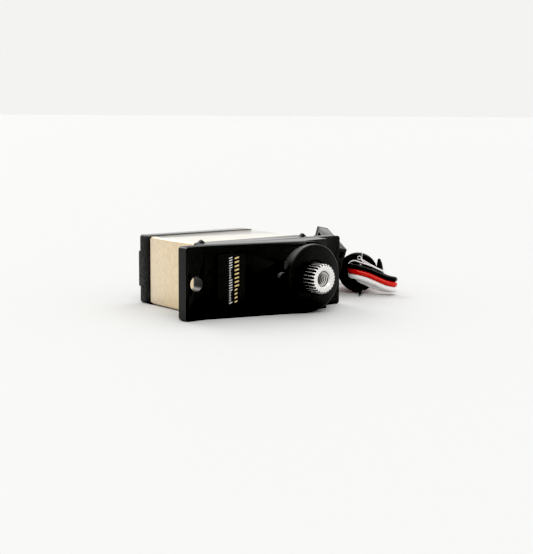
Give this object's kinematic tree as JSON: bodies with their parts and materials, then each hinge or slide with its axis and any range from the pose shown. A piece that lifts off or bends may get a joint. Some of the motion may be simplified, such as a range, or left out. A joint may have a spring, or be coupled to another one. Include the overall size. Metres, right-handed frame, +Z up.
{
  "type": "micro servo motor",
  "caption": "Slim geared servo motor with a metal splined output, flanged black top case, champagne metal middle case and a bundled ribbon lead with its plug.",
  "frame": {"origin": "on the surface it lies on, under the middle of the servo without its lead", "axes": "+X along the case from the motor end to the output end, -Y along the output shaft out of the case, +Z up, across the case"},
  "size_m": [0.0518, 0.03, 0.0125],
  "materials": {
    "case_plastic": "black moulded, slightly satin",
    "cap_plastic": "black moulded, fine texture",
    "case_metal": "champagne anodised",
    "label_film": "glossy black film",
    "screw_steel": "black oxide",
    "nylon": "natural nylon",
    "gear_brass": "cut brass",
    "gear_steel": "bright steel",
    "motor_can_steel": "plated steel",
    "magnet": "dark ferrite",
    "winding": "copper winding on a steel core",
    "contact": "gold plated",
    "board": "green solder mask",
    "chip": "black moulded",
    "capacitor_shell": "orange sleeve",
    "lead_rubber": "soft black",
    "tie": "clear",
    "plug": "black moulded"
  },
  "bodies": {
    "case": {"top_case": "case_plastic", "base_cap": "cap_plastic", "mid_case": "case_metal", "label": "label_film", "case_screw_1": "screw_steel", "case_screw_2": "screw_steel", "case_screw_3": "screw_steel", "case_screw_4": "screw_steel", "gear_floor": "nylon", "motor_end_cap": "nylon", "output_bush": "gear_brass", "idler_pin": "gear_steel", "bearing_outer_race": "gear_steel", "motor_can": "motor_can_steel", "motor_magnet": "magnet", "motor_terminal_1": "contact", "motor_terminal_2": "contact", "plug_contact_1": "contact", "plug_contact_2": "contact", "plug_contact_3": "contact", "circuit_board": "board", "control_chip": "chip", "driver_chip": "chip", "feedback_sensor_body": "chip", "capacitor": "capacitor_shell", "strain_relief": "lead_rubber", "output_seal": "lead_rubber", "lead_exit_run": "lead_rubber", "lead_plug_run": "lead_rubber", "lead_coil": "lead_rubber", "lead_tie": "tie", "plug_housing": "plug"},
    "output": {"output_shaft": "gear_steel", "feedback_wiper": "nylon", "bearing_inner_race": "gear_steel"},
    "bearing_balls": {"bearing_ball_ring": "gear_brass"},
    "idler_gear_1": {"gear_1": "gear_brass"},
    "idler_gear_2": {"gear_2": "gear_steel"},
    "idler_gear_3": {"gear_3": "gear_brass"},
    "rotor": {"motor_rotor": "winding", "motor_pinion": "gear_brass"}
  },
  "joints": [
    {"name": "output_spin", "type": "hinge", "parent": "case", "child": "output", "pos_m": [0.0061, -0.0072, 0.006], "axis": [0, -1, 0], "range_deg": [-90, 90]},
    {"name": "bearing_roll", "type": "hinge", "parent": "case", "child": "bearing_balls", "pos_m": [0.0061, -0.01, 0.006], "axis": [0, -1, 0], "range_deg": [-40, 40]},
    {"name": "gear_3_spin", "type": "hinge", "parent": "case", "child": "idler_gear_3", "pos_m": [0.0006, -0.0045, 0.006], "axis": [0, -1, 0], "range_deg": [-226, 226]},
    {"name": "gear_2_spin", "type": "hinge", "parent": "case", "child": "idler_gear_2", "pos_m": [0.0061, -0.0045, 0.006], "axis": [0, -1, 0], "range_deg": [-677, 677]},
    {"name": "gear_1_spin", "type": "hinge", "parent": "case", "child": "idler_gear_1", "pos_m": [0.0006, -0.0035, 0.006], "axis": [0, -1, 0], "range_deg": [-2030, 2030]},
    {"name": "rotor_spin", "type": "hinge", "parent": "case", "child": "rotor", "pos_m": [-0.0049, -0.0035, 0.006], "axis": [0, -1, 0], "range_deg": [-6090, 6090]}
  ],
  "couplings": [
    {"joint": "bearing_roll", "follows": "output_spin", "ratio": 0.43},
    {"joint": "gear_3_spin", "follows": "output_spin", "ratio": -2.5},
    {"joint": "gear_2_spin", "follows": "output_spin", "ratio": 7.5},
    {"joint": "gear_1_spin", "follows": "output_spin", "ratio": -22.5},
    {"joint": "rotor_spin", "follows": "output_spin", "ratio": 67.5}
  ]
}
